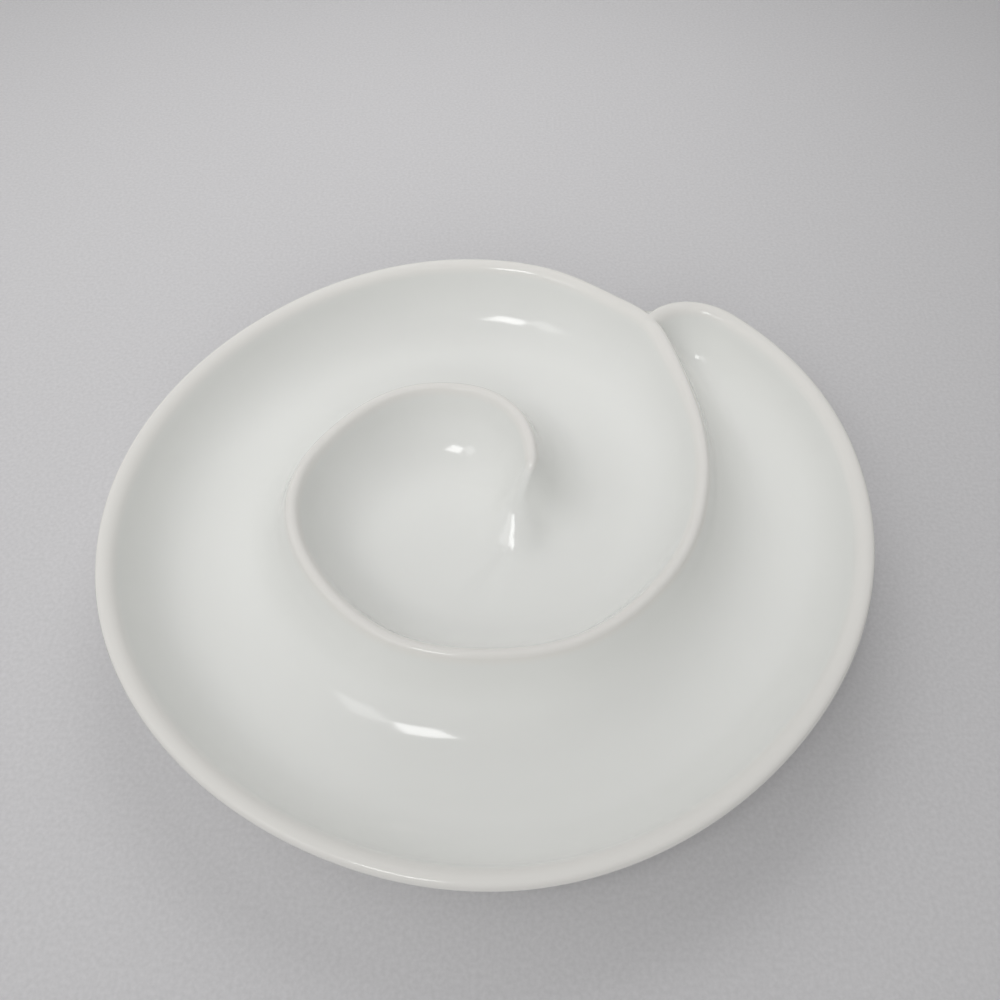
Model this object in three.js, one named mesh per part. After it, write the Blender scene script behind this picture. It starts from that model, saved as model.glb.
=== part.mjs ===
// Spiral serving dish: one continuous wall winds two turns outward from the middle of a flat
// well. Its inner turn is the partition, its outer turn the rim, and the rim's end tucks in
// against the partition as a rounded nose. Lengths in millimetres, +Z up, table at z = 0.
import * as THREE from "three";

// Heights
const TOP = 33;               // table to the top of the lip
const FLOOR = 8;              // table to the eating surface
const UNDER = 3.8;            // table to the underside of the well
const DEPTH = TOP - FLOOR;

// Wall section
const LIP = 2.1;              // radius of the rounded top, half the wall thickness
const SLOPE = 65;             // degrees from level, every wall face
const LEAST_SLOPE = 0.05;     // the same where a wall has run out
const RIM_COVE = 26;          // radius where a face on the hollow side runs into the floor
const FLANK_COVE = 26;        // the same on the outer side of the partition
const COVE_LOW = 12;          // radius of either cove where the tail runs out on the floor
const COVE_END = 18;          // degrees at which a cove is run out straight to the floor

// Foot
const FOOT_RADIUS = 93;       // middle of the standing ring
const FOOT_TOP = 9;           // width of the ring under the well
const FOOT_LAND = 3;          // width of the flat it stands on
const FOOT_EDGE = 0.8;        // bevel beside the flat

// Line of the lip seen from above: angle (degrees, counter-clockwise from +X) and radius on a
// dish 287 wide. It starts at the tail in the middle and winds outward for over two turns.
const WIDTH = 287;            // across the rim from side to side
const PLAN = WIDTH / 287;
const LINE = [
  [-47, 10], [-29, 9.6], [-8, 9.6], [12, 10.3], [28, 12], [37.6, 13.8], [43.7, 15.9], [46.6, 18.3],
  [48, 21.3], [49.4, 24.7], [52, 27.9], [56.5, 31.3], [63, 36.6], [72, 44.6], [90, 57], [105, 63.2],
  [120, 67.9], [150, 71.6], [165, 73.8], [180, 73.6], [195, 71.1], [210, 68.2], [225, 66.4],
  [240, 65.2], [270, 62.6], [300, 65.5], [315, 67.5], [330, 70.4], [345, 74.7], [360, 79.8],
  [375, 86.7], [390, 96.1], [400, 104.5], [408, 113.6], [415.5, 122.6], [424, 126.5], [435, 133],
  [450, 138.2], [465, 140.2], [490, 139.9], [515, 140.3], [538, 141.1], [560, 140.1], [580, 137.7],
  [605, 136.1], [635, 137.1], [655, 136], [675, 135.2], [700, 137.8], [725, 142.3], [748, 146.3],
  [760, 146.6], [775.5, 146.2],
];
const TAIL = -47;             // angle of the tail's tip
const JOIN = 415.5;           // angle where partition, rim and nose meet
const NOSE = JOIN + 360;
const SHOULDER = 11.5;        // degrees in which the nose turns in
const NOSE_POWER = 0.5;       // fullness of the nose
const TAIL_SLOPE = 0.58;      // slope of the tail's crest
const TAIL_START = 2;         // length of lip in which the crest leaves the floor
const CLIMB = 15;             // length of lip before the crest turns up to full height
const CLIMB_RUN = 19;         // length of lip in which it gets there
const TAIL_LIP = 26;          // how much fuller the lip's radius is where the tail ends
const BASE_BEFORE = 10.5;     // degrees before and after the join in which the base passes the notch
const BASE_AFTER = 34.5;
const SWING = 25;             // degrees in which the partition's sections turn to the join's radius
const EVEN = 16;              // length of lip either way over which a section's direction is averaged
const GAP = 0.3;              // parting between the two walls where they meet
const PROBE = 0.25;           // step in which the end of a section is looked for
const RUN_OUT = 0.02;         // height at which a face has run out on the floor
const MIDDLE = [0.37 * PLAN, 0.8 * PLAN];   // middle of the outline, from the spiral's own origin

const rad = THREE.MathUtils.degToRad;
const polar = (deg, r) => new THREE.Vector2(r * Math.cos(rad(deg)), r * Math.sin(rad(deg)));

// Natural cubic spline through the points of a table.
function spline(table) {
  const n = table.length, x = table.map((p) => p[0]), y = table.map((p) => p[1]);
  const m = new Array(n).fill(0), c = new Array(n).fill(0), d = new Array(n).fill(0);
  for (let i = 1; i < n - 1; i++) {
    const h0 = x[i] - x[i - 1], h1 = x[i + 1] - x[i];
    const k = 2 * (h0 + h1) - h0 * c[i - 1];
    c[i] = h1 / k;
    d[i] = (6 * ((y[i + 1] - y[i]) / h1 - (y[i] - y[i - 1]) / h0) - h0 * d[i - 1]) / k;
  }
  for (let i = n - 2; i > 0; i--) m[i] = d[i] - c[i] * m[i + 1];
  return (v) => {
    let i = 0;
    while (i < n - 2 && v > x[i + 1]) i++;
    const h = x[i + 1] - x[i], t = v - x[i];
    const s = (y[i + 1] - y[i]) / h - h * (2 * m[i] + m[i + 1]) / 6;
    return y[i] + t * (s + t * (m[i] / 2 + t * (m[i + 1] - m[i]) / (6 * h)));
  };
}
const lineRadius = spline(LINE.map(([w, r]) => [w, r * PLAN]));

function lipRadius(w) {
  const r = lineRadius(w), t = (w - (NOSE - SHOULDER)) / SHOULDER;
  if (t <= 0) return r;
  const end = lineRadius(JOIN);
  return end + (r - end) * Math.max(0, 1 - t * t) ** NOSE_POWER;
}

// The lip as a fine chain of points, each with the wall's height over the floor.
function chain(from, to, step) {
  const out = [], n = Math.round((to - from) / step);
  for (let i = 0; i <= n; i++) {
    const w = from + (to - from) * i / n, p = polar(w, lipRadius(w));
    out.push({ w, p });
  }
  return out;
}
const ridge = chain(TAIL, JOIN, 1), rim = chain(JOIN, NOSE - 3, 1).concat(chain(NOSE - 2.9, NOSE, 0.1));
let run = 0;
ridge.forEach((q, i) => {
  if (i) run += q.p.distanceTo(ridge[i - 1].p);
  const ramp = TAIL_SLOPE * run ** 2 / (run + TAIL_START);
  q.h = Math.min(DEPTH, ramp + (DEPTH - ramp) * THREE.MathUtils.smoothstep(run, CLIMB, CLIMB + CLIMB_RUN));
  q.run = run;
});
// Point of the partition's lip a given length from the tip, and the length at an angle.
function ridgePoint(length) {
  let i = 1;
  while (i < ridge.length - 1 && ridge[i].run < length) i++;
  const a = ridge[i - 1], b = ridge[i];
  return a.p.clone().lerp(b.p, THREE.MathUtils.clamp((length - a.run) / (b.run - a.run), 0, 1));
}
function ridgeRun(w) {
  const k = (w - TAIL) / (JOIN - TAIL) * (ridge.length - 1), i = Math.min(Math.floor(k), ridge.length - 2);
  return THREE.MathUtils.lerp(ridge[i].run, ridge[i + 1].run, k - i);
}
rim.forEach((q) => { q.h = DEPTH; });
const nose = rim.filter((q) => q.w > NOSE - 105);
const bend = ridge.filter((q) => q.w > JOIN - 40).concat(rim.filter((q) => q.w < JOIN + 60));

// Distance from a point to a chain, and the wall's height at the nearest place.
function nearest(line, p) {
  let best = { d: 1e9, h: 0 };
  for (let i = 1; i < line.length; i++) {
    const a = line[i - 1], b = line[i];
    const dx = b.p.x - a.p.x, dy = b.p.y - a.p.y;
    const t = THREE.MathUtils.clamp(((p.x - a.p.x) * dx + (p.y - a.p.y) * dy) / (dx * dx + dy * dy), 0, 1);
    const d = Math.hypot(p.x - a.p.x - t * dx, p.y - a.p.y - t * dy);
    if (d < best.d) best = { d, h: a.h + t * (b.h - a.h) };
  }
  return best;
}

// Section of one wall face: distances from the lip at which its parts end, for a wall h high.
function face(h, fullCove) {
  const cove = COVE_LOW + (fullCove - COVE_LOW) * h / DEPTH;
  const lip = LIP + TAIL_LIP * (1 - h / DEPTH) ** 3;
  const steepest = Math.acos(Math.max(-1, 1 - h / (lip + cove)));
  const full = THREE.MathUtils.clamp(steepest, rad(LEAST_SLOPE), rad(SLOPE));
  const end = Math.min(rad(COVE_END), full * 0.6);
  const b1 = lip * Math.sin(full), z1 = h - lip * (1 - Math.cos(full));
  const z2 = cove * (1 - Math.cos(full));
  const b2 = b1 + Math.max(0, z1 - z2) / Math.tan(full);
  const b3 = b2 + cove * (Math.sin(full) - Math.sin(end));
  const foot = b3 + cove * (1 - Math.cos(end)) / Math.tan(end);
  return { lip, cove, full, end, b1, z1, b2, z2, b3, foot, centre: b2 + cove * Math.sin(full) };
}
function faceHeight(b, h, fullCove) {
  const f = face(h, fullCove), cove = f.cove;
  if (b <= f.b1) return h - f.lip + Math.sqrt(Math.max(0, f.lip * f.lip - b * b));
  if (b <= f.b2) return f.z1 - (b - f.b1) * Math.tan(f.full);
  if (b <= f.b3) return cove - Math.sqrt(Math.max(0, cove * cove - (f.centre - b) ** 2));
  return Math.max(0, (f.foot - b) * Math.tan(f.end));
}
// Rows down one face from the lip to the floor.
function faceRows(h, fullCove) {
  const f = face(h, fullCove), cove = f.cove, out = [0.55 * f.b1, f.b1, f.b2];
  for (const part of [0.35, 0.68]) {
    const a = f.full + (f.end - f.full) * part;
    out.push(f.centre - cove * Math.sin(a));
  }
  return out.concat(f.b3, f.foot);
}
const RUN = face(DEPTH, RIM_COVE);

// Closed mesh from points given as triangle soup: equal points are joined, empty triangles dropped.
function solid(name, triangles, material) {
  const keys = new Map(), points = [], faces = [];
  const id = (p) => {
    const q = p.map((v) => Math.round(v * 1e4)), k = q.join();
    if (!keys.has(k)) {
      keys.set(k, points.length / 3);
      points.push(...q.map((v) => v / 1e4));
    }
    return keys.get(k);
  };
  for (const t of triangles) {
    const [a, b, c] = t.map(id);
    if (a !== b && b !== c && c !== a) faces.push(a, b, c);
  }
  const g = new THREE.BufferGeometry();
  g.setAttribute("position", new THREE.Float32BufferAttribute(points, 3));
  g.setIndex(faces);
  g.computeVertexNormals();
  const mesh = new THREE.Mesh(g, material);
  mesh.name = name;
  return mesh;
}
const quad = (out, a, b, c, d) => out.push([a, b, c], [a, c, d]);
// Skin between neighbouring sections, each a list of points with as many entries.
function skin(out, sections, closed) {
  for (let i = 1; i < sections.length; i++) {
    const a = sections[i - 1], b = sections[i], n = a.length;
    for (let j = 0; j < (closed ? n : n - 1); j++) quad(out, a[j], a[(j + 1) % n], b[(j + 1) % n], b[j]);
  }
}
const at = (p, z) => [p.x - MIDDLE[0], p.y - MIDDLE[1], z];
// Height left by both walls where they run together in the pocket behind the nose.
function blend(a, b) {
  const high = Math.max(a, b), soft = Math.min(0.9 + 5 * (1 - high / DEPTH), 1.5 * Math.min(a, b));
  const q = Math.max(0, soft - Math.abs(a - b));
  return Math.min(DEPTH, high + (soft > 0 ? q * q / (4 * soft) : 0));
}

// One side of a wall in plan: from the lip point out along a direction, stopping short of the
// other wall where the two meet. Gives points on the surface, then the one below on the floor.
function side(start, dir, own, other, cove, ownHeight) {
  const surface = (b) => {
    const p = start.clone().addScaledVector(dir, b), n = nearest(own, p);
    let o = 0;
    if (other) {
      const m = nearest(other, p);
      o = faceHeight(m.d, m.h, cove === RIM_COVE ? FLANK_COVE : RIM_COVE);
    }
    return { p, o, z: faceHeight(n.d, n.h, cove) };
  };
  const probe = start.clone().addScaledVector(dir, LIP);
  const lean = Math.max(0.25, nearest(own, probe).d / LIP);
  const rows = faceRows(ownHeight, cove).map((b) => b / lean);
  let reach = rows[rows.length - 1];
  const farthest = 3 * reach;
  while (surface(reach).z > RUN_OUT && reach < farthest) reach += PROBE;
  while (reach > 2 * PROBE && surface(reach - PROBE).z === 0) reach -= PROBE;
  let stop = reach;
  for (let b = 0; b < reach; b += 0.1) {
    const s = surface(b);
    if (s.o > s.z && s.o > 0.01) { stop = Math.max(0, b - GAP / 2); break; }
  }
  const out = rows.map((b, i) => {
    const last = i === rows.length - 1;
    const k = Math.min(last ? reach : b, reach, stop), s = surface(k);
    const free = k >= reach - 1e-6;
    return at(s.p, FLOOR + (free ? 0 : blend(s.z, s.o)));
  });
  const end = out[out.length - 1];
  return out.concat([[end[0], end[1], FLOOR]]);
}

const glaze = new THREE.MeshStandardMaterial({ color: 0xeceeea, roughness: 0.12, metalness: 0 });
const biscuit = new THREE.MeshStandardMaterial({ color: 0xdedad0, roughness: 0.85, metalness: 0 });

// Angles of the sections: even steps, with closer ones into the nose.
function steps(from, to, step) {
  const n = Math.ceil((to - from) / step - 1e-9);
  return Array.from({ length: n + 1 }, (_, i) => from + (to - from) * i / n);
}
const noseSteps = Array.from({ length: 11 }, (_, i) => NOSE - SHOULDER * Math.cos(rad(9 * i)))
  .concat([NOSE - 0.35, NOSE - 0.15]).sort((a, b) => a - b);
const rimAngles = [JOIN, JOIN + 0.5, JOIN + 1.1, JOIN + 2, JOIN + 4]
  .concat(steps(JOIN + 7, NOSE - SHOULDER - 4, 4), noseSteps);

// Partition: sections square to the lip, turning to lie along the radius at the join.
const partGap = GAP / lineRadius(JOIN) * 180 / Math.PI;
const ridgeAngles = [
  -38, -30, -22, -13, -3, 8, 18, 27, 35, 41, 45, 47, 48.2, 49.4, 51.2, 54, 57.5, 61.5, 66, 70.5, 75, 80,
]
  .concat(steps(85, JOIN - 20.5, 4.5), steps(JOIN - 17.5, JOIN - partGap, 2.2));
function ridgeSection(w) {
  const p = polar(w, lipRadius(w));
  const length = ridgeRun(w);
  const tangent = ridgePoint(length + EVEN).sub(ridgePoint(length - EVEN)).normalize();
  const inward = new THREE.Vector2(-tangent.y, tangent.x);
  const turn = THREE.MathUtils.smoothstep(w, JOIN - SWING, JOIN - partGap);
  inward.lerp(polar(w, -1), turn).normalize();
  const h = nearest(ridge, p).h;
  const outer = side(p, inward.clone().negate(), ridge, w > JOIN - 75 && nose, FLANK_COVE, h);
  const inner = side(p, inward, w > JOIN - 30 ? bend : ridge, null, RIM_COVE, h);
  return [...inner.reverse(), at(p, FLOOR + h), ...outer];
}
function innerWall() {
  const out = [], sections = ridgeAngles.map(ridgeSection);
  skin(out, sections, true);
  const capAt = (s, flip) => {
    const n = s.length;
    for (let j = 1; j < n - 1; j++) out.push(flip ? [s[0], s[j + 1], s[j]] : [s[0], s[j], s[j + 1]]);
  };
  capAt(sections[0], true);
  capAt(sections[sections.length - 1], false);
  return solid("inner_wall", out, glaze);
}

// Outside of the dish along one radius: lip edge, then down and in to the base.
function lipEdge(w) {
  let r = lipRadius(w);
  while (Math.min(nearest(rim, polar(w, r)).d, nearest(ridge, polar(w, r)).d) < LIP) r += 0.02;
  return r;
}
function baseRadius(w) {
  const own = (a) => lineRadius(a) - RUN.centre;
  const past = w > NOSE - BASE_BEFORE ? w - 360 : w;
  const t = THREE.MathUtils.smoothstep(past, JOIN - BASE_BEFORE, JOIN + BASE_AFTER);
  return t < 1 ? THREE.MathUtils.lerp(own(NOSE - BASE_BEFORE), own(JOIN + BASE_AFTER), t) : own(w);
}
// Outer face as pairs [distance in from the lip line, height], parallel to the inner face.
const R_OUT = RIM_COVE + 2 * LIP;
const outerProfile = [[-LIP, DEPTH - LIP]];
outerProfile.push([-RUN.b1, DEPTH - LIP - LIP * Math.cos(rad(SLOPE))]);
const arcPoint = (deg) => [RUN.centre - R_OUT * Math.sin(rad(deg)), RIM_COVE - R_OUT * Math.cos(rad(deg))];
const levelAngle = Math.acos(RIM_COVE / R_OUT) * 180 / Math.PI;
outerProfile.push(arcPoint(SLOPE), arcPoint((SLOPE + levelAngle) / 2), arcPoint(levelAngle));
const underProfile = [levelAngle, 20, 10, 0].map(arcPoint);
function outside(w, profile, edge) {
  const slant = (baseRadius(w) - edge) / (RUN.centre + LIP);
  return profile.map(([b, z]) => at(polar(w, edge + slant * (b + LIP)), FLOOR + z));
}
const edges = rimAngles.map((w) => (w >= NOSE ? lipEdge(JOIN) : lipEdge(w)));

// Rim: sections along the radius. The last one lies on the first, where the nose meets the join.
function outerWall() {
  const out = [], sections = rimAngles.map((w, i) => {
    const r = lipRadius(w), p = polar(w, r), edge = edges[i];
    const face = outside(w, outerProfile, edge), last = face[face.length - 1];
    const low = at(polar(w, Math.min(r, Math.hypot(last[0] + MIDDLE[0], last[1] + MIDDLE[1]) - 1)), FLOOR);
    const pocket = w > NOSE - 75;
    const inner = w >= NOSE
      ? new Array(8).fill(at(p, TOP)).map((q, j) => (j === 7 ? low : q))
      : side(p, polar(w, -1), pocket ? nose : w < JOIN + 30 ? bend : rim, pocket && ridge, RIM_COVE, DEPTH);
    const crown = [0.55, 0.85].map((k) => {
      const q = polar(w, r + (edge - r) * k), d = Math.min(nearest(rim, q).d, nearest(ridge, q).d);
      return at(q, TOP - LIP + Math.sqrt(Math.max(0, LIP * LIP - d * d)));
    });
    return [...inner.reverse(), at(p, TOP), ...crown, ...face, low];
  });
  skin(out, sections, true);
  const first = sections[0], last = first.length - 1;
  for (let j = 1; j < 8; j++) out.push([first[last], first[j], first[j - 1]]);
  out.push([first[last], first[8], first[7]]);
  return solid("outer_wall", out, glaze);
}

function wellFloor() {
  const out = [], rows = rimAngles.map((w, i) => outside(w, underProfile, edges[i]));
  const top = at({ x: 0, y: 0 }, FLOOR), bottom = at({ x: 0, y: 0 }, UNDER);
  skin(out, rows, false);
  for (let i = 1; i < rows.length; i++) {
    out.push([top, rows[i - 1][0], rows[i][0]], [bottom, rows[i][3], rows[i - 1][3]]);
  }
  return solid("well_floor", out, glaze);
}

function footRing() {
  const half = FOOT_LAND / 2;
  const profile = [
    [FOOT_RADIUS + FOOT_TOP / 2, UNDER], [FOOT_RADIUS - FOOT_TOP / 2, UNDER],
    [FOOT_RADIUS - half - FOOT_EDGE, FOOT_EDGE], [FOOT_RADIUS - half, 0],
    [FOOT_RADIUS + half, 0], [FOOT_RADIUS + half + FOOT_EDGE, FOOT_EDGE],
  ];
  const out = [], sections = steps(0, 360, 4).map((a) => profile.map(([r, z]) => at(polar(a, r), z)));
  skin(out, sections.reverse(), true);
  return solid("foot_ring", out, biscuit);
}

const dish = new THREE.Group();
dish.name = "spiral_dish";
dish.add(wellFloor(), outerWall(), innerWall(), footRing());
export default dish;
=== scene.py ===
import math
import bpy
import numpy as np
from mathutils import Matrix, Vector
from mathutils.geometry import delaunay_2d_cdt


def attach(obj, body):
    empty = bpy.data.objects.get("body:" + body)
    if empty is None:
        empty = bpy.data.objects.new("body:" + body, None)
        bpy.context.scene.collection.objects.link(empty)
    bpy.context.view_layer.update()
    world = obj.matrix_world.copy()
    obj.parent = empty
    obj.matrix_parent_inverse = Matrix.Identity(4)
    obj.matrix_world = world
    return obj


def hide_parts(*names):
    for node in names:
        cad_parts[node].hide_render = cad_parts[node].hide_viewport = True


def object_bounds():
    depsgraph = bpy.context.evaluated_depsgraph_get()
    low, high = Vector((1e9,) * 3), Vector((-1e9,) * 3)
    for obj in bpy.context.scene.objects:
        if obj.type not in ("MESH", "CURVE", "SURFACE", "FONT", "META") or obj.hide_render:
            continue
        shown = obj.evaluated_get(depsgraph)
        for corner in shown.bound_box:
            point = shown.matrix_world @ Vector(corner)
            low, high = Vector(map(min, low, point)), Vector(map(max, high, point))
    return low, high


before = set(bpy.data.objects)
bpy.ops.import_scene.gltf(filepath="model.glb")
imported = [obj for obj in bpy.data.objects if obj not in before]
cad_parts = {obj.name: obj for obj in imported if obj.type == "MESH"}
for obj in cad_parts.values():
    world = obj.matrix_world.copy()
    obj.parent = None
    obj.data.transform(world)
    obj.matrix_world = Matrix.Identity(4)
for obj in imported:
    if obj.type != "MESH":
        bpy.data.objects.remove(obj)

cad_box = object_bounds()

# Sizes as in the solids, in millimetres; everything is scaled to metres when a mesh is made.
MM = 0.001
TOP = 33.0
FLOOR = 8.0             # the well's floor
UNDER = 3.8             # the flat underside
DEPTH = TOP - FLOOR
LIP = 2.1               # radius of the rounded top, half the wall's thickness
SLOPE = math.radians(65)
RIM_COVE = 26.0         # radius where a face on the hollow side runs into the floor
FLANK_COVE = 26.0       # the same on the outer side of the partition
COVE_LOW = 12.0         # radius of either cove where the tail runs out on the floor
FOOT_RADIUS = 93.0      # middle of the standing ring
FOOT_TOP = 9.0          # width of the ring under the well
FOOT_LAND = 3.0         # width of the edge it stands on
EDGE_TOP = 0.7          # height of the bare edge
MIDDLE = np.array([0.37, 0.8])      # middle of the outline, from the spiral's own origin

# Line of the lip seen from above: angle (degrees, counter-clockwise from +X) and radius, from the
# tail in the middle outward
LINE = [
    (-47, 10), (-29, 9.6), (-8, 9.6), (12, 10.3), (28, 12), (37.6, 13.8), (43.7, 15.9), (46.6, 18.3),
    (48, 21.3), (49.4, 24.7), (52, 27.9), (56.5, 31.3), (63, 36.6), (72, 44.6), (90, 57), (105, 63.2),
    (120, 67.9), (150, 71.6), (165, 73.8), (180, 73.6), (195, 71.1), (210, 68.2), (225, 66.4), (240, 65.2),
    (270, 62.6), (300, 65.5), (315, 67.5), (330, 70.4), (345, 74.7), (360, 79.8), (375, 86.7), (390, 96.1),
    (400, 104.5), (408, 113.6), (415.5, 122.6), (424, 126.5), (435, 133), (450, 138.2), (465, 140.2),
    (490, 139.9), (515, 140.3), (538, 141.1), (560, 140.1), (580, 137.7), (605, 136.1), (635, 137.1),
    (655, 136), (675, 135.2), (700, 137.8), (725, 142.3), (748, 146.3), (760, 146.6), (775.5, 146.2)]
TAIL = -47.0
JOIN = 415.5            # where partition, rim and nose meet
NOSE = JOIN + 360
SHOULDER = 11.5         # degrees in which the nose turns in
NOSE_POWER = 0.5        # fullness of the nose
NOSE_TIP = 2            # last degrees, which are followed more closely
NOSE_LENGTH = 120       # length of rim that counts as the nose
TAIL_SLOPE = 0.58       # slope of the tail's crest
TAIL_START = 2.0        # length of lip in which the crest leaves the floor
CLIMB = 15.0            # length of lip before the crest turns up to full height
CLIMB_RUN = 19.0        # length of lip in which it gets there
STEP = 0.9              # spacing of the points along the lip

# Roundness of the lip and of the places where faces meet
TAIL_LIP = 26.0         # how much fuller the lip's radius is where the tail ends
INNER_LIP = 1.2         # the same on the hollow side
JOIN_LIP = 2.5          # added to that from the join on
JOIN_FROM = 4           # place past the join where all of it is there
JOIN_RUN = 75           # length of partition in which it comes
NOSE_FREE = 10          # length in which the nose is still one with the rim
NOSE_RUN = 40           # further length in which it becomes a wall of its own
NOTCH = 7.0             # roundness of the notch between rim and nose
VALLEY = 0.9            # softness where two faces meet at full height
VALLEY_LOW = 5.0        # how much softer they meet at the floor
VALLEY_SHARE = 1.5      # most softness for each millimetre of the lower face
EASE_FROM = 5           # distance from the lip where the blurred surface starts to take over
EASE_RUN = 6            # distance in which it does
TAIL_EASE = 4           # how much closer to the crest it starts at the tail
TAIL_EASE_RUN = 3       # how much sooner it gets there
TAIL_SOFT = 50.0        # length of lip that counts as the tail for this
TAIL_FADE = 20          # its last stretch, where that fades out
TINY = 1e-6


def spline(table):
    """Natural cubic spline through a table of places and values."""
    x, y = (np.array(v, float) for v in zip(*table))
    n, h = len(x), np.diff(x)
    a, b = np.eye(n), np.zeros(n)
    for i in range(1, n - 1):
        a[i, i - 1:i + 2] = h[i - 1], 2 * (h[i - 1] + h[i]), h[i]
        b[i] = 6 * ((y[i + 1] - y[i]) / h[i] - (y[i] - y[i - 1]) / h[i - 1])
    m = np.linalg.solve(a, b)

    def value(v):
        v = np.asarray(v, float)
        i = np.clip(np.searchsorted(x, v) - 1, 0, n - 2)
        t = v - x[i]
        s = (y[i + 1] - y[i]) / h[i] - h[i] * (2 * m[i] + m[i + 1]) / 6
        return y[i] + t * (s + t * (m[i] / 2 + t * (m[i + 1] - m[i]) / (6 * h[i])))
    return value


line_radius = spline(LINE)


def lip_radius(w):
    """Radius of the lip's line, with the nose turned in to the join."""
    w = np.asarray(w, float)
    r, end = line_radius(w), float(line_radius(JOIN))
    t = np.clip((w - (NOSE - SHOULDER)) / SHOULDER, 0, 1)
    return np.where(t > 0, end + (r - end) * (1 - t * t) ** NOSE_POWER, r)


def polar(w, r):
    a = np.radians(w)
    return np.stack([r * np.cos(a), r * np.sin(a)], -1)


def even(points, step):
    """The same chain with even spacing, and each point's place along it."""
    s = np.concatenate([[0], np.cumsum(np.linalg.norm(np.diff(points, axis=0), axis=1))])
    n = max(2, int(round(s[-1] / step)))
    t = np.linspace(0, s[-1], n + 1)
    return np.stack([np.interp(t, s, points[:, k]) for k in range(points.shape[1])], 1), t


# The partition's lip and the rim's lip, and the two chains that distances are taken from: main is the
# partition and the rim up to the nose, nose is the rest.
RIDGE_SAMPLES, RIM_SAMPLES, TIP_SAMPLES = 6000, 7000, 1500
w_in = np.linspace(TAIL, JOIN, RIDGE_SAMPLES)
ridge, ridge_s = even(polar(w_in, lip_radius(w_in)), STEP)
w_tip = NOSE - NOSE_TIP * (1 - np.sin(np.linspace(0, np.pi / 2, TIP_SAMPLES)))
w_out = np.concatenate([np.linspace(JOIN, NOSE - NOSE_TIP, RIM_SAMPLES)[:-1], w_tip])
rim, rim_s = even(polar(w_out, lip_radius(w_out)), STEP)
climb = TAIL_SLOPE * ridge_s ** 2 / (ridge_s + TAIL_START)
t = np.clip((ridge_s - CLIMB) / CLIMB_RUN, 0, 1)
ridge_h = np.minimum(climb + (DEPTH - climb) * t * t * (3 - 2 * t), DEPTH)
before_nose = rim_s[1:] <= rim_s[-1] - NOSE_LENGTH
main = np.concatenate([ridge, rim[1:][before_nose]])
main_h = np.concatenate([ridge_h, np.full(before_nose.sum(), DEPTH)])
main_index = np.arange(len(main))
from_join = np.concatenate([ridge_s - ridge_s[-1], rim_s[1:][before_nose]])
past_join = np.clip(1 + (from_join - JOIN_FROM) / JOIN_RUN, 0, 1)
past_join = past_join ** 2 * (3 - 2 * past_join)
nose = rim[before_nose.sum():]
nose_h = np.full(len(nose), DEPTH)
RIDGE_SEGMENTS = len(ridge) - 1


def nearest(chain, heights, points, batch=3000):
    """Distance to the chain, its height there, how many steps along it that is and on which side."""
    a, e = chain[:-1], np.diff(chain, axis=0)
    e2 = (e ** 2).sum(1)
    d, h, along = (np.empty(len(points)) for _ in range(3))
    left = np.empty(len(points), bool)
    for k in range(0, len(points), batch):
        part = slice(k, k + batch)
        p = points[part]
        rx = p[:, None, 0] - a[None, :, 0]
        ry = p[:, None, 1] - a[None, :, 1]
        t = np.clip((rx * e[:, 0] + ry * e[:, 1]) / e2, 0, 1)
        q = (rx - t * e[:, 0]) ** 2 + (ry - t * e[:, 1]) ** 2
        i = q.argmin(1)
        n = np.arange(len(p))
        d[part] = np.sqrt(q[n, i])
        h[part] = heights[i] + t[n, i] * (heights[i + 1] - heights[i])
        along[part] = i + t[n, i]
        left[part] = e[i, 0] * ry[n, i] - e[i, 1] * rx[n, i] >= 0
    return d, h, along, left


def face_height(b, h, cove, lip):
    """Height over the floor at a distance b from a lip that stands h over the floor."""
    cove = COVE_LOW + (cove - COVE_LOW) * h / DEPTH
    full = np.minimum(SLOPE, np.arccos(np.clip(1 - h / (lip + cove), -1, 1)))
    b1, z1 = lip * np.sin(full), h - lip * (1 - np.cos(full))
    z2 = cove * (1 - np.cos(full))
    tan = np.maximum(np.tan(full), TINY)
    b2 = b1 + np.maximum(0, z1 - z2) / tan
    centre = b2 + cove * np.sin(full)
    crown = h - lip + np.sqrt(np.clip(lip ** 2 - b ** 2, 0, None))
    low = cove - np.sqrt(np.clip(cove ** 2 - (centre - b) ** 2, 0, None))
    z = np.where(b < b1, crown, np.where(b < b2, z1 - (b - b1) * tan, np.where(b < centre, low, 0)))
    return np.maximum(z, 0)


def apart(along_nose):
    """How far the nose counts as a wall of its own: not at all where it leaves the rim."""
    return np.clip((along_nose * STEP - NOSE_FREE) / NOSE_RUN, 0, 1)


def surface(points):
    """Height over the table of the dish's upper surface, distance from the lip and place along it."""
    d, h, along, left = nearest(main, main_h, points)
    cove = np.where((along < RIDGE_SEGMENTS) & ~left, FLANK_COVE, RIM_COVE)
    inner = INNER_LIP + JOIN_LIP * np.interp(along, main_index, past_join)
    lip = LIP + TAIL_LIP * (1 - h / DEPTH) ** 3 + np.where(left, inner, 0)
    a = face_height(d, h, cove, lip)
    dn, hn, along_nose, nose_left = nearest(nose, nose_h, points)
    b = face_height(dn, hn, RIM_COVE, np.where(nose_left, LIP + INNER_LIP + JOIN_LIP, LIP))
    hi = np.maximum(a, b)
    soft = np.minimum(VALLEY + VALLEY_LOW * (1 - hi / DEPTH), VALLEY_SHARE * np.minimum(a, b))
    soft = soft * apart(along_nose) + TINY
    q = np.clip(soft - np.abs(a - b), 0, None)
    return FLOOR + np.minimum(hi + q * q / (4 * soft), DEPTH), np.minimum(d, dn), along * STEP


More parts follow.
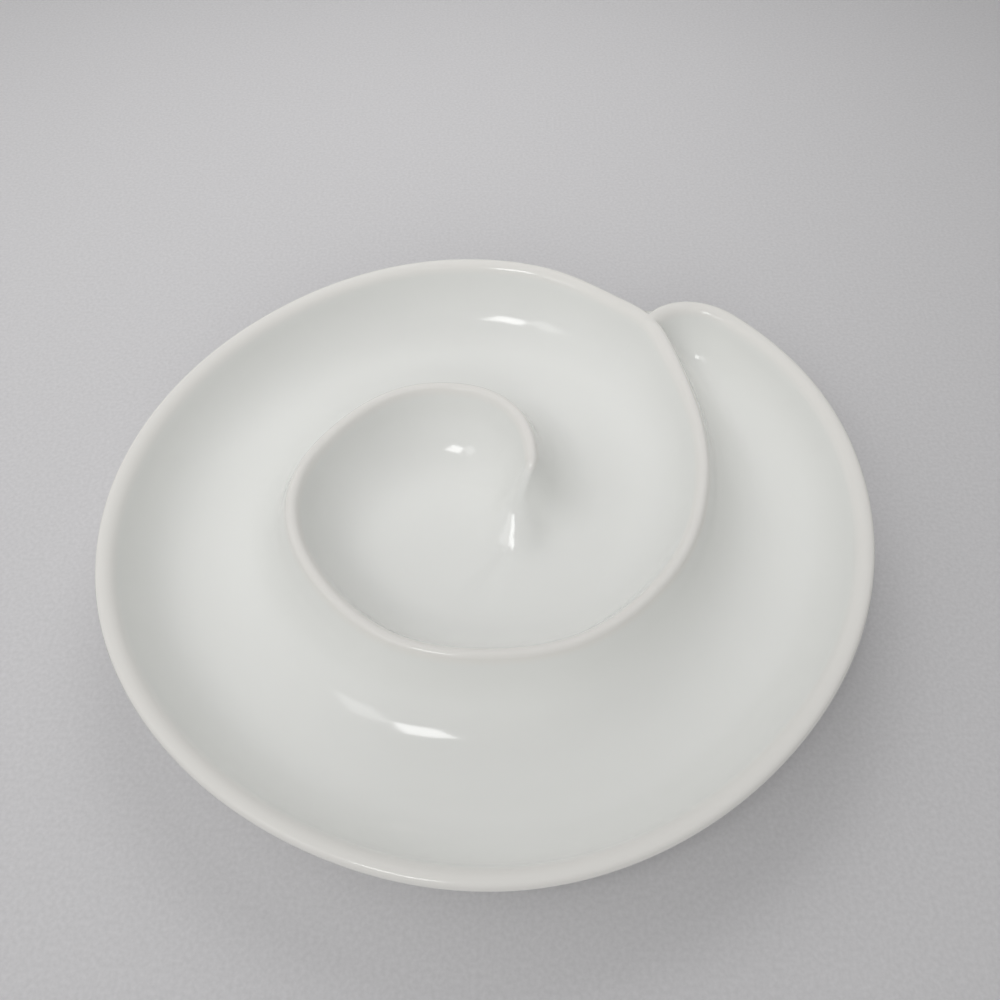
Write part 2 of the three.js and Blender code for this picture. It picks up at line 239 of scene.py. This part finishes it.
# The same surface on a square grid and blurred a little, for the hollows: where two coves meet
# it runs through without a crease.
CELL = 1.2              # spacing of the grid
FIELD_REACH = 154       # half the grid's side
BLUR = 2.4              # standard deviation of the blur
BLUR_CELLS = 7          # how many cells it takes in on either side
grid_axis = np.arange(-FIELD_REACH, FIELD_REACH, CELL)
grid_x, grid_y = np.meshgrid(grid_axis, grid_axis)
field = surface(np.stack([grid_x.ravel(), grid_y.ravel()], 1))[0].reshape(grid_x.shape)
kernel = np.exp(-0.5 * (np.arange(-BLUR_CELLS, BLUR_CELLS + 1) * CELL / BLUR) ** 2)
kernel /= kernel.sum()
for _ in range(2):      # along the rows, then along the columns
    field = np.stack([np.convolve(line, kernel, "same") for line in field]).T


def eased_surface(points):
    """Height of the surface near the lip, and of the blurred one further down."""
    z, d, along = surface(points)
    p = (points - grid_axis[0]) / CELL
    i = p.astype(int)
    u, v = (p - i).T
    x, y = i.T
    eased = ((1 - u) * (1 - v) * field[y, x] + u * (1 - v) * field[y, x + 1]
             + (1 - u) * v * field[y + 1, x] + u * v * field[y + 1, x + 1])
    tail = np.clip((TAIL_SOFT - along) / TAIL_FADE, 0, 1)
    m = np.clip((d - EASE_FROM + TAIL_EASE * tail) / (EASE_RUN - TAIL_EASE_RUN * tail), 0, 1)
    m = m * m * (3 - 2 * m)
    return z + (eased - z) * m


def smooth_distance(points):
    """Distance from the lip, rounded in the notch between rim and nose."""
    a = nearest(main, main_h, points)[0]
    b, _, along_nose, _ = nearest(nose, nose_h, points)
    k = NOTCH * apart(along_nose) + TINY
    return np.minimum(a, b) - np.clip(k - np.abs(a - b), 0, None) ** 2 / (4 * k)


def rim_line(deg):
    """Radius of the outermost turn of the lip's line."""
    w = np.where(np.mod(deg, 360) < JOIN - 360, np.mod(deg, 360) + 720, np.mod(deg, 360) + 360)
    return lip_radius(w)


def lip_edge(deg, back=0.3, reach=26, step=0.25, halvings=12):
    """Outer edge of the lip along each radius, followed outward from the rim's line."""
    start = rim_line(deg) - back
    out = np.full(len(deg), np.nan)
    for b in np.arange(0, reach, step):
        r = start + b
        todo = np.isnan(out)
        d = smooth_distance(polar(deg[todo], r[todo]))
        over = d > LIP
        idx = np.nonzero(todo)[0][over]
        out[idx] = r[idx]
        if not np.isnan(out).any():
            break
    lo, hi = out - step, out.copy()
    for _ in range(halvings):
        mid = (lo + hi) / 2
        over = smooth_distance(polar(deg, mid)) > LIP
        hi = np.where(over, mid, hi)
        lo = np.where(over, lo, mid)
    return hi


# Outline of the lip from above, as evenly spaced points
OUTLINE_STEP = 1.0
deg = np.arange(0, 360, 0.05)
edge = polar(deg, lip_edge(deg))
outline, _ = even(np.concatenate([edge, edge[:1]]), OUTLINE_STEP)
outline = outline[:-1]
n_out = len(outline)
out_deg = np.degrees(np.arctan2(outline[:, 1], outline[:, 0]))
out_r = np.hypot(*outline.T)

# Distances from the lip of the rows of points on either side of it
LIP_ANGLES = (12, 24, 36, 48, 58, 65)
FACE_ROWS, COVE_ROWS = 5, 13
lip_rows = [LIP * math.sin(math.radians(a)) for a in LIP_ANGLES]
b1 = LIP * math.sin(SLOPE)


def wall_rows(cove):
    """The rows down one face, and the distance at which the face meets the floor."""
    b2 = b1 + (DEPTH - (LIP + cove) * (1 - math.cos(SLOPE))) / math.tan(SLOPE)
    centre = b2 + cove * math.sin(SLOPE)
    on_face = [b1 + (b2 - b1) * k / FACE_ROWS for k in range(1, FACE_ROWS + 1)]
    on_cove = [centre - cove * math.sin(SLOPE * (1 - k / COVE_ROWS)) for k in range(1, COVE_ROWS + 1)]
    return lip_rows + on_face + on_cove, centre


rim_rows, base_in = wall_rows(RIM_COVE)
flank_rows, _ = wall_rows(FLANK_COVE)

# Points of the upper surface: those rows, then a loose grid on the floor
THIN = 6                # a row further than twice this from the lip keeps every other point, and so on
SLACK = 0.03            # how far a row's point may come closer to another stretch of lip
ROW_MARGIN = 0.35       # distance that the rows keep from the outline
FLOOR_STEP = 2.5        # spacing of the grid
FLOOR_REACH = 140       # half its side
FLOOR_FREE = 0.8        # distance that it keeps from the end of the coves
FLOOR_MARGIN = 3        # and from the outline
points, edges = [], []


def add_row(row, keep, closed=False):
    first = len(points)
    index = np.full(len(row), -1)
    index[keep] = first + np.arange(keep.sum())
    points.extend(map(tuple, row[keep]))
    for i in range(len(row) - 1 + closed):
        j = (i + 1) % len(row)
        if index[i] >= 0 and index[j] >= 0:
            edges.append((int(index[i]), int(index[j])))


def side_normals(chain):
    t = np.gradient(chain, axis=0)
    t /= np.linalg.norm(t, axis=1)[:, None]
    return np.stack([-t[:, 1], t[:, 0]], 1)


def distance(p):
    return np.minimum(nearest(main, main_h, p)[0], nearest(nose, nose_h, p)[0])


def inside(p, margin):
    a = np.degrees(np.arctan2(p[:, 1], p[:, 0]))
    order = np.argsort(out_deg)
    r = np.interp(a, out_deg[order], out_r[order], period=360)
    return np.hypot(*p.T) < r - margin


add_row(outline, np.ones(n_out, bool), closed=True)
for chain in (ridge, rim):
    normal = side_normals(chain)
    add_row(chain, np.ones(len(chain), bool) if chain is ridge else np.arange(len(chain)) > 0)
    for sign in (1, -1):
        for b in rim_rows if sign > 0 or chain is rim else flank_rows:
            thin = max(1, int(b // THIN))
            row = chain[::thin] + normal[::thin] * b * sign
            add_row(row, (distance(row) > b - SLACK) & inside(row, ROW_MARGIN))
floor_axis = np.arange(-FLOOR_REACH, FLOOR_REACH, FLOOR_STEP)
gx, gy = np.meshgrid(floor_axis, floor_axis)
gx[1::2] += FLOOR_STEP / 2
grid = np.stack([gx.ravel(), gy.ravel()], 1)
on_floor = (distance(grid) > base_in + FLOOR_FREE) & inside(grid, FLOOR_MARGIN)
points.extend(map(tuple, grid[on_floor]))
verts2, _, faces2, came_from, *_ = delaunay_2d_cdt([Vector(p) for p in points], edges, [], 1, 1e-4)
flat = np.array([tuple(v) for v in verts2])
z_top = eased_surface(flat)


def metres(xy, z):
    """Points in the shared frame, in metres."""
    xy = xy - MIDDLE
    return np.column_stack([xy, np.full(len(xy), z) if np.isscalar(z) else z]) * MM


# The outside, as distance in from the lip's line and height over the floor: the lip's outer edge,
# down and in to the base, parallel to the inner face.
OUTER_LIP_ANGLES = (8, 16, 25)
OUTER_FACE_ROWS, OUTER_COVE_ROWS = 8, 14
OUTER_COVE = RIM_COVE + 2 * LIP


def outer_cove(a):
    return base_in - OUTER_COVE * math.sin(a), RIM_COVE - OUTER_COVE * math.cos(a)


outer = [(-LIP * math.cos(a), DEPTH - LIP - LIP * math.sin(a)) for a in np.radians(OUTER_LIP_ANGLES)]
end, corner = outer[-1], outer_cove(SLOPE)
for k in range(1, OUTER_FACE_ROWS + 1):
    outer.append(tuple(p + (q - p) * k / OUTER_FACE_ROWS for p, q in zip(end, corner)))
outer += [outer_cove(SLOPE * (1 - k / OUTER_COVE_ROWS)) for k in range(1, OUTER_COVE_ROWS + 1)]

# Angles between which the base passes the notch in one smooth blend
BASE_FROM, BASE_TO = 45.0, 90.0


def base_radius(angle):
    """Radius at which the outside reaches the flat underside."""
    def own(v):
        return line_radius(np.where(v + 360 < JOIN, v + 720, v + 360)) - base_in
    a = np.mod(angle, 360)
    t = np.clip((a - BASE_FROM) / (BASE_TO - BASE_FROM), 0, 1)
    s = t * t * (3 - 2 * t)
    mixed = own(np.array(BASE_FROM)) * (1 - s) + own(np.array(BASE_TO)) * s
    return np.where((a > BASE_FROM) & (a < BASE_TO), mixed, own(a))


def ring(r, z):
    return metres(polar(out_deg, r if np.ndim(r) else np.full(n_out, r)), z)


# Rings from the lip down to the middle of the underside; the foot's are given as distance from the
# middle of the standing ring, and height.
half = FOOT_LAND / 2
foot = [(FOOT_TOP / 2 + 1.6, UNDER), (FOOT_TOP / 2 + 0.4, UNDER - 0.25), (FOOT_TOP / 2 - 0.5, UNDER - 0.9),
        (half + 0.95, EDGE_TOP + 0.35), (half + 0.7, EDGE_TOP)]
foot_rows = [(FOOT_RADIUS + b, z) for b, z in foot] + [(FOOT_RADIUS - b, z) for b, z in reversed(foot)]
UNDERSIDE_RADII = (70, 45, 20)
base_r = base_radius(out_deg)
rings = [ring(out_r + (base_r - out_r) * (b + LIP) / (base_in + LIP), FLOOR + z) for b, z in outer]
rings += [ring(r, z) for r, z in foot_rows]
rings += [ring(r, UNDER) for r in UNDERSIDE_RADII]

# The body's points and faces; first holds which surface point each outline point is.
place = {source: i for i, sources in enumerate(came_from) for source in sources}
first = [place[i] for i in range(n_out)]
z_top[first] = TOP - LIP
verts = [metres(flat, z_top)] + rings + [metres(np.zeros((1, 2)), UNDER)]
faces = []
for f in faces2:
    a, b, c = (flat[i] for i in f[:3])
    up = (b[0] - a[0]) * (c[1] - a[1]) - (b[1] - a[1]) * (c[0] - a[0]) > 0
    faces.append(tuple(f) if up else tuple(reversed(f)))
previous, offset = first, len(flat)
for _ in rings:
    here = [offset + i for i in range(n_out)]
    for i in range(n_out):
        j = (i + 1) % n_out
        faces.append((previous[i], here[i], here[j], previous[j]))
    previous, offset = here, offset + n_out
faces += [(previous[i], offset, previous[(i + 1) % n_out]) for i in range(n_out)]


def make(name, verts, faces, material, nodes):
    mesh = bpy.data.meshes.new(name)
    mesh.from_pydata([tuple(v) for v in verts], [], faces)
    mesh.polygons.foreach_set("use_smooth", [True] * len(mesh.polygons))
    mesh.materials.append(material)
    mesh.update()
    obj = bpy.data.objects.new(name, mesh)
    bpy.context.scene.collection.objects.link(obj)
    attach(obj, "root")
    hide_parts(*nodes)


class Material:
    """A material with a Principled shader and the few procedural nodes that are used here."""

    def __init__(self, name):
        self.data = bpy.data.materials.new(name)
        self.data.use_nodes = True
        tree = self.data.node_tree
        self.new, self.link = tree.nodes.new, tree.links.new
        self.shader = tree.nodes["Principled BSDF"]
        self.coord = self.new("ShaderNodeTexCoord").outputs["Object"]

    def noise(self, scale, detail):
        node = self.new("ShaderNodeTexNoise")
        node.inputs["Scale"].default_value = scale
        node.inputs["Detail"].default_value = detail
        self.link(self.coord, node.inputs["Vector"])
        return node.outputs["Fac"]

    def tones(self, value, start, low, stop, high):
        """Colour that runs from low to high while the value goes from start to stop."""
        node = self.new("ShaderNodeValToRGB")
        for element, position, colour in zip(node.color_ramp.elements, (start, stop), (low, high)):
            element.position = position
            element.color = (*colour, 1)
        self.link(value, node.inputs["Fac"])
        return node.outputs["Color"]

    def bump(self, value, strength, distance):
        node = self.new("ShaderNodeBump")
        node.inputs["Strength"].default_value = strength
        node.inputs["Distance"].default_value = distance
        self.link(value, node.inputs["Height"])
        self.link(node.outputs["Normal"], self.shader.inputs["Normal"])


# Glaze: faint clouds in the white, a warmer tone on the lip where the glaze is thin, and a surface
# that is not quite even
GLAZE_LOW, GLAZE_HIGH, GLAZE_LIP = (0.86, 0.865, 0.838), (0.88, 0.885, 0.858), (0.87, 0.85, 0.81)
WARM_FROM, WARM_FULL = 0.0285, 0.0325       # heights in metres between which the warmer tone comes in
WARM_SHARE = 0.8
SMOOTHEST, ROUGHEST = 0.07, 0.13
glaze = Material("glaze")
glaze.shader.inputs["IOR"].default_value = 1.5
white = glaze.tones(glaze.noise(scale=14, detail=3), 0.3, GLAZE_LOW, 0.7, GLAZE_HIGH)
split = glaze.new("ShaderNodeSeparateXYZ")
glaze.link(glaze.coord, split.inputs["Vector"])
near_lip = glaze.new("ShaderNodeMapRange")
near_lip.interpolation_type = "SMOOTHSTEP"
near_lip.inputs["From Min"].default_value = WARM_FROM
near_lip.inputs["From Max"].default_value = WARM_FULL
glaze.link(split.outputs["Z"], near_lip.inputs["Value"])
share = glaze.new("ShaderNodeMath")
share.operation = "MULTIPLY"
share.inputs[1].default_value = WARM_SHARE
glaze.link(near_lip.outputs["Result"], share.inputs[0])
warm = glaze.new("ShaderNodeMixRGB")
warm.inputs["Color2"].default_value = (*GLAZE_LIP, 1)
glaze.link(share.outputs["Value"], warm.inputs["Fac"])
glaze.link(white, warm.inputs["Color1"])
glaze.link(warm.outputs["Color"], glaze.shader.inputs["Base Color"])
gloss = glaze.new("ShaderNodeMapRange")
gloss.inputs["To Min"].default_value = SMOOTHEST
gloss.inputs["To Max"].default_value = ROUGHEST
glaze.link(glaze.noise(scale=260, detail=2), gloss.inputs["Value"])
glaze.link(gloss.outputs["Result"], glaze.shader.inputs["Roughness"])
glaze.bump(glaze.noise(scale=55, detail=1), strength=0.02, distance=0.0006)

# Bare biscuit of the standing edge
BISCUIT_LOW, BISCUIT_HIGH = (0.40, 0.37, 0.32), (0.56, 0.53, 0.47)
biscuit = Material("biscuit")
biscuit.shader.inputs["Roughness"].default_value = 0.85
grain = biscuit.noise(scale=900, detail=4)
biscuit.link(biscuit.tones(grain, 0, BISCUIT_LOW, 1, BISCUIT_HIGH), biscuit.shader.inputs["Base Color"])
biscuit.bump(grain, strength=0.4, distance=0.0002)

body = np.clip(np.concatenate(verts), cad_box[0], cad_box[1])
make("dish_body", body, faces, glaze.data, ("well_floor", "inner_wall", "outer_wall"))

# The bare edge that the dish stands on, as distance from the middle of the ring and height
turn = np.arange(0, 360, 1.5)
profile = [(-half - 0.7, EDGE_TOP), (-half - 0.55, 0.35), (-half - 0.15, 0.06), (-half + 0.3, 0),
           (half - 0.3, 0), (half + 0.15, 0.06), (half + 0.55, 0.35), (half + 0.7, EDGE_TOP)]
land = np.concatenate([metres(polar(turn, np.full(len(turn), FOOT_RADIUS + b)), z) for b, z in profile])
m, k = len(turn), len(profile)
land_faces = [(j * m + i, ((j + 1) % k) * m + i, ((j + 1) % k) * m + (i + 1) % m, j * m + (i + 1) % m)
              for j in range(k) for i in range(m)]
make("foot_edge", land, land_faces, biscuit.data, ("foot_ring",))

# Floor with a fine nap
CLOTH_LOW, CLOTH_HIGH = (0.650, 0.642, 0.652), (0.715, 0.706, 0.718)
FLOOR_SIZE = 6
cloth = Material("floor")
cloth.shader.inputs["Roughness"].default_value = 0.95
nap = cloth.noise(scale=650, detail=3)
cloth.link(cloth.tones(nap, 0.3, CLOTH_LOW, 0.7, CLOTH_HIGH), cloth.shader.inputs["Base Color"])
cloth.bump(nap, strength=0.3, distance=0.0003)
bpy.ops.mesh.primitive_plane_add(size=FLOOR_SIZE, location=(0, 0, 0))
floor = bpy.context.object
floor.name = "floor"
floor.data.materials.append(cloth.data)

# Pale surroundings: how bright they are as light, and as seen or mirrored
WORLD_LIGHT, WORLD_SEEN = 0.26, 0.62
world = bpy.data.worlds.new("world")
bpy.context.scene.world = world
world.use_nodes = True
n, link = world.node_tree.nodes, world.node_tree.links
sky = n["Background"]
sky.inputs["Color"].default_value = (1, 1, 1, 1)
ray = n.new("ShaderNodeLightPath")
seen = n.new("ShaderNodeMath")
seen.operation = "MAXIMUM"
link.new(ray.outputs["Is Camera Ray"], seen.inputs[0])
link.new(ray.outputs["Is Glossy Ray"], seen.inputs[1])
level = n.new("ShaderNodeMapRange")
level.inputs["To Min"].default_value = WORLD_LIGHT
level.inputs["To Max"].default_value = WORLD_SEEN
link.new(seen.outputs["Value"], level.inputs["Value"])
link.new(level.outputs["Result"], sky.inputs["Strength"])

# Square lamps aimed at the dish: azimuth from +Y towards +X and height over the table in degrees,
# distance and size in metres, power in watts, and whether the glaze mirrors it
LAMPS = [
    ("key", -148, 64, 2.0, 0.42, 4.2, True),
    ("window", -121, 54, 2.0, 0.5, 1.5, True),
    ("left", -90, 45, 0.6, 0.4, 0.5, False),
    ("corner", -45, 25, 0.6, 0.4, 0.1, False),
    ("far", 0, 50, 0.6, 0.4, 0.9, False),
    ("near", 180, 32, 2.0, 1.1, 7.6, False),
]
for name, azimuth, height, away, size, power, mirrored in LAMPS:
    light = bpy.data.lights.new(name, "AREA")
    light.size = size
    light.energy = power
    lamp = bpy.data.objects.new(name, light)
    a, e = math.radians(azimuth), math.radians(height)
    toward = Vector((math.sin(a) * math.cos(e), math.cos(a) * math.cos(e), math.sin(e)))
    lamp.location = toward * away
    lamp.rotation_euler = (-toward).to_track_quat("-Z", "Y").to_euler()
    lamp.visible_camera = False
    lamp.visible_glossy = mirrored
    bpy.context.scene.collection.objects.link(lamp)

# Camera at the photograph's angle: its place from the spiral's origin in metres and its height over
# the lip in millimetres
CAMERA_X, CAMERA_Y, CAMERA_OVER_LIP = 0.00465, -0.2231, 298.3
TILT = math.radians(53)
camera = bpy.data.cameras.new("camera")
camera.sensor_width = 36
camera.lens = 36
camera.clip_start = 0.01
camera.clip_end = 20
cam = bpy.data.objects.new("camera", camera)
cam.location = (CAMERA_X - MIDDLE[0] * MM, CAMERA_Y - MIDDLE[1] * MM, (TOP + CAMERA_OVER_LIP) * MM)
cam.rotation_euler = (math.pi / 2 - TILT, 0, 0)
bpy.context.scene.collection.objects.link(cam)
bpy.context.scene.camera = cam
bpy.context.scene.view_settings.view_transform = "Standard"
